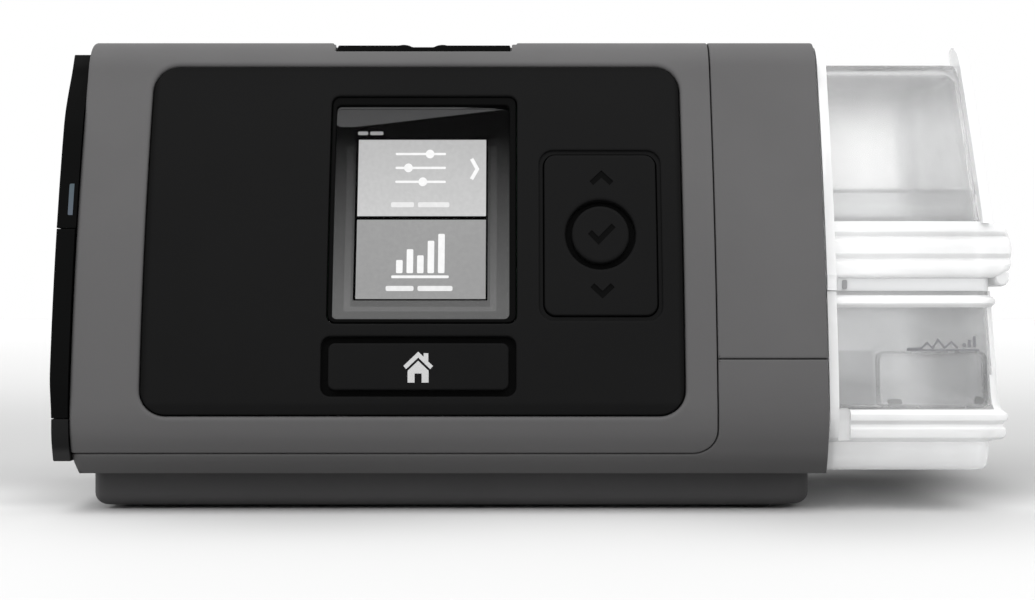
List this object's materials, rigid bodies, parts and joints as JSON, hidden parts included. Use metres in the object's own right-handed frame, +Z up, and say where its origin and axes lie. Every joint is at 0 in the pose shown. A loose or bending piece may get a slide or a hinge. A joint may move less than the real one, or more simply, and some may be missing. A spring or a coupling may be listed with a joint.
{
  "type": "cpap machine",
  "caption": "Bedside positive airway pressure machine: sloped face with screen and press buttons, blower inside, and a clear slide-in heated water tub at one end.",
  "frame": {"origin": "centre of the bounding box's footprint, at the level the feet stand on", "axes": "+X along the width towards the water tub, +Y from the control face towards the back, +Z up"},
  "size_m": [0.246, 0.15, 0.1232],
  "materials": {
    "shell_grey": "fine moulded satin",
    "base_grey": "fine moulded satin",
    "fascia_black": "smooth satin",
    "side_black": "fine moulded satin",
    "rail_grey": "fine moulded satin",
    "button_black": "smooth satin",
    "screen_glass": "clear polished window",
    "bezel_black": "satin",
    "display": "lit display",
    "light_guide": "lit translucent",
    "circuit_board": "solder mask",
    "steel": "plain steel",
    "alloy": "satin",
    "rubber": "matt",
    "silicone": "matt translucent",
    "inner_plastic": "moulded",
    "clear_plastic": "clear moulded, frosted in places",
    "filter_foam": "non-woven fibre",
    "card_blue": "satin",
    "ribbon": "satin film"
  },
  "bodies": {
    "housing": {"base_housing": "base_grey", "front_cover": "shell_grey", "rear_housing": "shell_grey", "side_panel": "side_black", "led_light_guide": "light_guide", "side_rail": "rail_grey", "fascia_panel": "fascia_black", "screen_bezel": "bezel_black", "screen_lens": "screen_glass", "lcd_module": "display", "button_mat": "silicone", "display_board": "circuit_board", "main_board": "circuit_board", "display_ribbon": "ribbon", "card_socket": "steel", "inlet_muffler": "inner_plastic", "blower_mount": "silicone", "blower_housing_lower": "inner_plastic", "blower_housing_upper": "inner_plastic", "blower_motor": "steel", "flow_sensor": "inner_plastic", "bay_air_seal": "silicone", "air_filter": "filter_foam", "air_outlet": "shell_grey", "outlet_seal": "silicone", "power_socket": "inner_plastic", "adapter_port": "inner_plastic", "bay_liner": "inner_plastic", "heater_plate": "alloy", "heater_pad": "silicone", "foot_1": "rubber", "base_screw_1": "steel", "foot_2": "rubber", "base_screw_2": "steel", "foot_3": "rubber", "base_screw_3": "steel", "foot_4": "rubber", "base_screw_4": "steel"},
    "home_button": {"home_button": "button_black"},
    "nav_rocker": {"nav_rocker": "button_black"},
    "ok_button": {"ok_button": "button_black"},
    "start_button": {"start_button": "button_black"},
    "card_cover": {"card_cover": "side_black"},
    "memory_card": {"memory_card": "card_blue"},
    "adapter_cover": {"adapter_cover": "side_black"},
    "filter_cover": {"filter_cover": "shell_grey"},
    "retention_clip": {"retention_clip": "inner_plastic"},
    "impeller": {"impeller": "silicone", "motor_shaft": "steel"},
    "tub": {"tub_base": "clear_plastic", "tub_lid": "clear_plastic", "tub_seal": "silicone", "tub_heat_plate": "steel", "tub_baffle": "clear_plastic", "tub_latch": "clear_plastic"}
  },
  "joints": [
    {"name": "home_button_press", "type": "slide", "parent": "housing", "child": "home_button", "axis": [0, 0.9823, -0.1871], "range_m": [0, 0.0008], "stiffness_N_per_m": 400},
    {"name": "ok_button_press", "type": "slide", "parent": "housing", "child": "ok_button", "axis": [0, 0.952, -0.3061], "range_m": [0, 0.0007], "stiffness_N_per_m": 300},
    {"name": "nav_rocker_tilt", "type": "hinge", "parent": "housing", "child": "nav_rocker", "pos_m": [0.0166, -0.06302, 0.07064], "axis": [1, 0, 0], "range_deg": [-1.4, 1.4], "stiffness_Nm_per_rad": 0.08},
    {"name": "start_button_press", "type": "slide", "parent": "housing", "child": "start_button", "axis": [0, 0, -1], "range_m": [0, 0.001], "stiffness_N_per_m": 500},
    {"name": "tub_slide", "type": "slide", "parent": "housing", "child": "tub", "axis": [1, 0, 0], "range_m": [0, 0.12]},
    {"name": "card_cover_hinge", "type": "hinge", "parent": "housing", "child": "card_cover", "pos_m": [-0.1227, -0.0219, 0.048], "axis": [0, 0, -1], "range_deg": [0, 88]},
    {"name": "memory_card_slide", "type": "slide", "parent": "housing", "child": "memory_card", "axis": [-1, 0, 0], "range_m": [-0.0008, 0.0025]},
    {"name": "adapter_cover_slide", "type": "slide", "parent": "housing", "child": "adapter_cover", "axis": [-1, 0, 0], "range_m": [0, 0.03]},
    {"name": "filter_cover_hinge", "type": "hinge", "parent": "housing", "child": "filter_cover", "pos_m": [-0.1007, 0.0657, 0.04], "axis": [0, 0, 1], "range_deg": [0, 100]},
    {"name": "retention_clip_hinge", "type": "hinge", "parent": "housing", "child": "retention_clip", "pos_m": [-0.03, 0.0678, 0.0452], "axis": [-1, 0, 0], "range_deg": [0, 90]},
    {"name": "impeller_spin", "type": "hinge", "parent": "housing", "child": "impeller", "pos_m": [-0.07, 0.008, 0.071], "axis": [0, 0, 1], "continuous": true}
  ]
}
